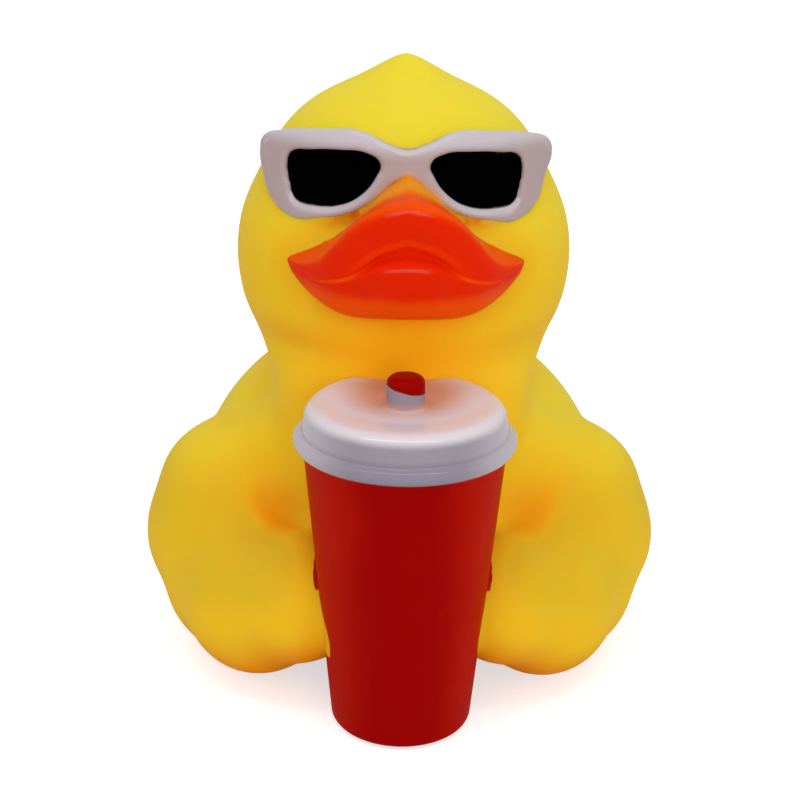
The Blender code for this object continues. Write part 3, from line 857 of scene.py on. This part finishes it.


# Duck
# One hollow vinyl moulding: head, neck, chest, body with its tail, and two wings that close round the
# cup. The vinyl is yellow right through, satin and a little translucent; its colour carries painted light
# and shade, lemon on open tops and deeper orange in folds, under the bill and on the wings, with a painted
# glow at the throat.
NECK_HEIGHT = 42.0
HEAD_HALF_WIDTH = 23.5
NAPE_REACH = 23.0
HEAD_SECTIONS = (
    # rise above the neck, then shares of half width, face reach and nape reach
    (43.7, 0.02, -0.01, 0.05),
    (42.5, 0.11, 0.08, 0.16),
    (40.3, 0.27, 0.24, 0.35),
    (37.2, 0.53, 0.51, 0.61),
    (33.4, 0.71, 0.72, 0.80),
    (28.0, 0.85, 0.86, 0.91),
    (22.0, 0.965, 0.97, 0.98),
    (16.0, 1.0, 1.0, 1.0),
    (10.0, 0.965, 0.975, 0.96),
    (4.8, 0.875, 0.90, 0.88),
)
HEAD_FULLNESS = 2.0
CHEST_SECTIONS = (
    # height above the floor, half width, chest reach, back reach
    (42.0, 18.6, 20.6, 18.6),
    (35.0, 18.4, 20.3, 18.0),
    (24.0, 18.0, 18.0, 18.0),
    (12.0, 16.0, 14.5, 17.0),
    (3.0, 13.0, 9.0, 14.0),
)
CHEST_FULLNESS = 2.7
COLUMN_STEPS = 6
COLUMN_SEGMENTS = 96
BODY_HALF_WIDTH = 31.2
TAIL_REACH = 46.2
BODY_MASSES = (
    # centre, radii and tilt in degrees
    ((0.0, 9.5, 17.2), (BODY_HALF_WIDTH, 26.0, 28.4), 0.0),
    ((0.0, TAIL_REACH - 22.2, 20.0), (BODY_HALF_WIDTH * 0.7, 17.0, 19.0), 0.0),
    ((0.0, TAIL_REACH - 11.7, 31.0), (12.5, 11.5, 8.6), 42.0),
    ((0.0, TAIL_REACH - 5.7, 38.0), (7.5, 7.5, 4.6), 48.0),
)
WING_HALF_SPAN = 37.6
WING_MASSES = (
    # the centre's share of the half span, way back and height, then radii
    ((0.399, -3.0, 26.4), (10.5, 10.2, 10.6)),
    ((0.628, -1.4, 21.8), (12.4, 12.6, 11.0)),
    ((0.649, -4.0, 16.5), (13.2, 13.5, 12.8)),
    ((0.585, -9.5, 12.0), (12.5, 12.6, 12.4)),
    ((0.53, -17.0, 11.6), (10.8, 11.0, 11.0)),
    ((0.375, -22.2, 14.4), (9.2, 9.8, 9.3)),
)
SKIN_GRID = 0.9
BLEND_STEPS = 44
BLEND_START_RISE = 4.0
BLEND_FADE = 9.0
HEAD_BLEND = 0.12
DUCK_GRID = 0.5
DUCK_TRIANGLES = 190000
UNDER_PAINT = 0.25
UNDER_BILL = 0.6
UNDER_LID = 2.0
TINT_REACH = 4.0
SKY_RAYS = 20
FOLD_PLACE = (20.5, -15.0, 22.6)
FOLD_REACH = 9.0
THROAT_PLACE = (0.0, -17.0, 42.0)
THROAT_REACH = 20.0
SPILL_FOOT = 19.2
SPILL_TOP = 23.6
DARK_SPECKS = ((12.6, -18.2, 51.4), (15.0, -18.0, 31.0))
VINYL_YELLOW = (0.95, 0.57, 0.016)
VINYL_LIT_LEMON = (0.92, 0.735, 0.040)
VINYL_SHADE_ORANGE = (0.95, 0.30, 0.002)
WING_SHADE_GOLD = (0.79, 0.505, 0.018)
THROAT_GLOW = (0.20, 0.065, 0.0)
SPECK_BROWN = (0.05, 0.02, 0.01)


def add_egg(bm, centre, radii, tilt_deg=0.0):
    size = Matrix.Diagonal(radii).to_4x4()
    place = Matrix.Translation(centre) @ Matrix.Rotation(math.radians(tilt_deg), 4, "X") @ size
    bmesh.ops.create_uvsphere(bm, u_segments=64, v_segments=40, radius=1.0, matrix=place)


def add_column(bm):
    """Head, neck and chest as one upright column of oval sections."""
    rows = [
        (NECK_HEIGHT + rise, wide * HEAD_HALF_WIDTH, front * FACE_REACH, back * NAPE_REACH, HEAD_FULLNESS)
        for rise, wide, front, back in HEAD_SECTIONS
    ]
    rows += [section + (CHEST_FULLNESS,) for section in CHEST_SECTIONS]
    rings = []
    for z, wide, front, back, full in smooth_through(rows, COLUMN_STEPS):
        ring = []
        for i in range(COLUMN_SEGMENTS):
            turn = 2 * math.pi * i / COLUMN_SEGMENTS
            c, s = (math.copysign(abs(part) ** (2 / full), part) for part in (math.cos(turn), math.sin(turn)))
            ring.append(bm.verts.new((wide * c, (back - front) / 2 + (back + front) / 2 * s, z)))
        rings.append(ring)
    bridge(bm, rings)


def draw_duck():
    """Head, body and wings as one smooth closed skin."""
    bm = bmesh.new()
    add_column(bm)
    for centre, radii, tilt in BODY_MASSES:
        add_egg(bm, centre, radii, tilt)
    for (share, y, z), radii in WING_MASSES:
        for side in (-1, 1):
            add_egg(bm, (side * share * WING_HALF_SPAN, y, z), radii)
    skin = add_object("duck_skin", bm)
    fuse(skin, SKIN_GRID, 0)
    soften = skin.vertex_groups.new(name="below the neck")
    for v in skin.data.vertices:
        below = (NECK_HEIGHT + BLEND_START_RISE - v.co.z / MM) / BLEND_FADE
        soften.add([v.index], min(1.0, max(HEAD_BLEND, below)), "REPLACE")
    blend = skin.modifiers.new("blend junctions", "SMOOTH")
    blend.factor = 0.5
    blend.iterations = BLEND_STEPS
    blend.vertex_group = soften.name
    rounder = skin.modifiers.new("rounder", "SUBSURF")
    rounder.levels = rounder.render_levels = 1
    settle(skin)
    return skin


def average_round(mesh, values, passes):
    """Values on points, averaged with their neighbours along the edges so many times."""
    flat = np.empty(len(mesh.edges) * 2, np.int32)
    mesh.edges.foreach_get("vertices", flat)
    a, b = flat.reshape(-1, 2).T
    count = np.bincount(a, minlength=len(values)) + np.bincount(b, minlength=len(values)) + 1
    for _ in range(passes):
        total = np.bincount(a, values[b], len(values)) + np.bincount(b, values[a], len(values))
        values = (values + total) / count
    return values


def skin_distance(obj, other, reach):
    """How far each of an object's points lies from another object's skin, up to the reach."""
    skin = BVHTree.FromObject(other, bpy.context.evaluated_depsgraph_get())
    return np.array([(skin.find_nearest(v.co, reach * MM)[3] or reach * MM) / MM for v in obj.data.vertices])


def skylight(obj, rays):
    """How much light from above reaches each point: 1 in the open on top, 0 in deep folds and below."""
    corners = [tuple(v.co) for v in obj.data.vertices]
    tree = BVHTree.FromPolygons(corners, [tuple(p.vertices) for p in obj.data.polygons])
    golden = math.pi * (3 - math.sqrt(5))
    fan = []
    for i in range(rays):
        lift = (i + 0.5) / rays
        wide = math.sqrt(1 - lift * lift)
        fan.append(Vector((wide * math.cos(golden * i), wide * math.sin(golden * i), lift)))
    found = []
    for v in obj.data.vertices:
        start = v.co + v.normal * (0.3 * MM)
        light = 0.0
        for ray in fan:
            faces = ray.dot(v.normal)
            if faces > 0 and tree.ray_cast(start, ray)[0] is None:
                light += faces
        found.append(light / rays * 2)
    return np.array(found)


duck = draw_duck()
duck.name = "duck_moulding"
lid_top = CUP_HEIGHT + LID_CREST_RISE - LID_CREST_ROUND
core_foot = CUP_FOOT_RADIUS - CUP_FOOT_FILLET
core_lid = LID_SHOULDER_RADIUS - UNDER_LID
core_profile = [(0.0, CUP_FOOT_FILLET), (core_foot, CUP_FOOT_FILLET), (CUP_FOOT_RADIUS, CUP_FOOT_FILLET * 4)]
core_profile += [(CUP_MOUTH_RADIUS, CUP_HEIGHT), (core_lid, CUP_HEIGHT), (core_lid, lid_top), (0.0, lid_top)]
core = lathe("cup_core", [(max(r - UNDER_PAINT, 0.0), z) for r, z in core_profile], None)
write_mark(cup, "from_wing", skin_distance(cup, duck, 100.0))
take_in(duck, [make_bill(UNDER_BILL), make_glasses(UNDER_PAINT), core])
fuse(duck, DUCK_GRID, 2)
thin = duck.modifiers.new("thin out faces", "DECIMATE")
thin.ratio = DUCK_TRIANGLES / (2 * len(duck.data.polygons))
settle(duck)
points = points_of(duck)
points[:, 2] = np.maximum(points[:, 2], 0.0)
duck.data.vertices.foreach_set("co", (points * MM).astype(np.float32).ravel())
duck.data.update()

cup_radius = CUP_FOOT_RADIUS + (CUP_MOUTH_RADIUS - CUP_FOOT_RADIUS) * points[:, 2] / CUP_HEIGHT
from_cup = np.hypot(points[:, 0], points[:, 1] + CUP_AHEAD) - cup_radius
write_mark(duck, "from_cup", np.where(points[:, 2] < CUP_HEIGHT, from_cup, FAR))
write_mark(duck, "from_glasses", average_round(duck.data, skin_distance(duck, glasses, TINT_REACH), 3))
write_mark(duck, "from_bill", average_round(duck.data, skin_distance(duck, bill, TINT_REACH), 3))
write_mark(duck, "skylight", average_round(duck.data, skylight(duck, SKY_RAYS), 8))

vinyl = Finish(bpy.data.materials.new("yellow vinyl"))
where = vinyl.place()
x, y, z = vinyl.split(where)
ragged = vinyl.noise(where, 1.3, 3.0) - 0.5
fine = vinyl.noise(where, 0.35, 2.0)
cloudy = vinyl.noise(where, 14.0, 2.0)
# Painted light and shade from the skylight mark: deep orange where little light from above reaches, lemon on
# open tops.
sky = vinyl.mark("skylight") + (cloudy - 0.5) * 0.08
yellow = vinyl.blend(vinyl.ramp(sky, 0.06, 0.42), VINYL_SHADE_ORANGE, VINYL_YELLOW)
yellow = vinyl.blend(vinyl.ramp(sky, 0.45, 1.0), yellow, VINYL_LIT_LEMON)
# Painted shade: the wings' open faces below the chest are dulled to a darker gold, as if the head shaded
# them.
wing_shade = vinyl.ramp(z, 34.0, 24.0) * vinyl.ramp(sky, 0.42, 0.72)
yellow = vinyl.blend(wing_shade * 0.9, yellow, WING_SHADE_GOLD)
# Painted shade in the hollows where the wings meet the chest.
for side in (-1, 1):
    spot = (side * FOLD_PLACE[0], FOLD_PLACE[1], FOLD_PLACE[2])
    in_fold = vinyl.ramp(vinyl.away_from(where, spot), FOLD_REACH, 1.0) * vinyl.ramp(sky, 0.65, 0.3)
    yellow = vinyl.blend(in_fold * 0.75, yellow, VINYL_SHADE_ORANGE)
# Painted shade under the bill: the throat is deepened towards orange.
throat = vinyl.ramp(vinyl.away_from(where, THROAT_PLACE), THROAT_REACH, 3.0)
yellow = vinyl.blend(throat * 0.42, yellow, VINYL_SHADE_ORANGE)
from_bill = vinyl.mark("from_bill") + ragged * 0.2
# Deeper orange all round the bill: partly the spray's mist, partly painted reflected glow from the bill.
yellow = vinyl.blend(vinyl.ramp(from_bill, 4.0, 0.5) * 0.3, yellow, VINYL_SHADE_ORANGE)
# Orange spray from the nose on the face round the top of the bill.
glow = vinyl.ramp(from_bill, 3.0, 0.4) * vinyl.ramp(z, MOUTH_HEIGHT + 4.0, MOUTH_HEIGHT + 7.0)
colour = vinyl.blend(glow * 0.85, yellow, NOSE_ORANGE)
# A thin ring of the bill's paint on the face round the bill, in the bill's lighter orange and the nose's
# orange.
painted = vinyl.ramp(from_bill, 0.30, 0.10)
colour = vinyl.blend(painted, colour, vinyl.blend(glow, BILL_LIT_ORANGE, NOSE_ORANGE))
# The frame's white paint runs a little on to the face round the frame, in the shaded white.
frame_white = vinyl.ramp(vinyl.mark("from_glasses"), 0.34, 0.08)
colour = vinyl.blend(frame_white * (1 - glow), colour, FRAME_SHADED_WHITE)
# Red paint from the cup spilt on to the wings beside it, in the cup's lighter red.
spill = vinyl.noise(where, 2.4, 2.0) - 0.5
cup_red = vinyl.ramp(vinyl.mark("from_cup") + spill * 0.9, 0.55, 0.45)
cup_red = cup_red * vinyl.ramp(z + spill, SPILL_FOOT, SPILL_FOOT + 0.4)
cup_red = cup_red * vinyl.ramp(z + spill, SPILL_TOP, SPILL_TOP - 0.6)
# A painted glow at the throat, fed to the emission, stands in for light shining through the vinyl.
glowing = vinyl.blend(throat * (1 - painted) * (1 - cup_red), (0.0, 0.0, 0.0), THROAT_GLOW)
colour = vinyl.blend(cup_red, colour, RED_SPILL_AND_LIT_SIDES)
for spot in DARK_SPECKS:
    colour = vinyl.blend(vinyl.fleck(where, spot, 0.28), colour, SPECK_BROWN)
vinyl.end(
    vinyl.node(
        "ShaderNodeBsdfPrincipled",
        {},
        {
            "Base Color": colour,
            "Roughness": 0.48 + cloudy * 0.06 - painted * 0.12,
            "Specular IOR Level": 0.05,
            "Subsurface Weight": 0.6,
            "Subsurface Radius": (1.0, 0.35, 0.06),
            "Subsurface Scale": 0.004,
            "Emission Color": glowing,
            "Emission Strength": 1.0,
            "Normal": vinyl.bump(fine, 0.01),
        },
    )
)
duck.data.materials.clear()
duck.data.materials.append(vinyl.owner)
duck.data.shade_smooth()
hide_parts("duck")
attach(duck, "root")
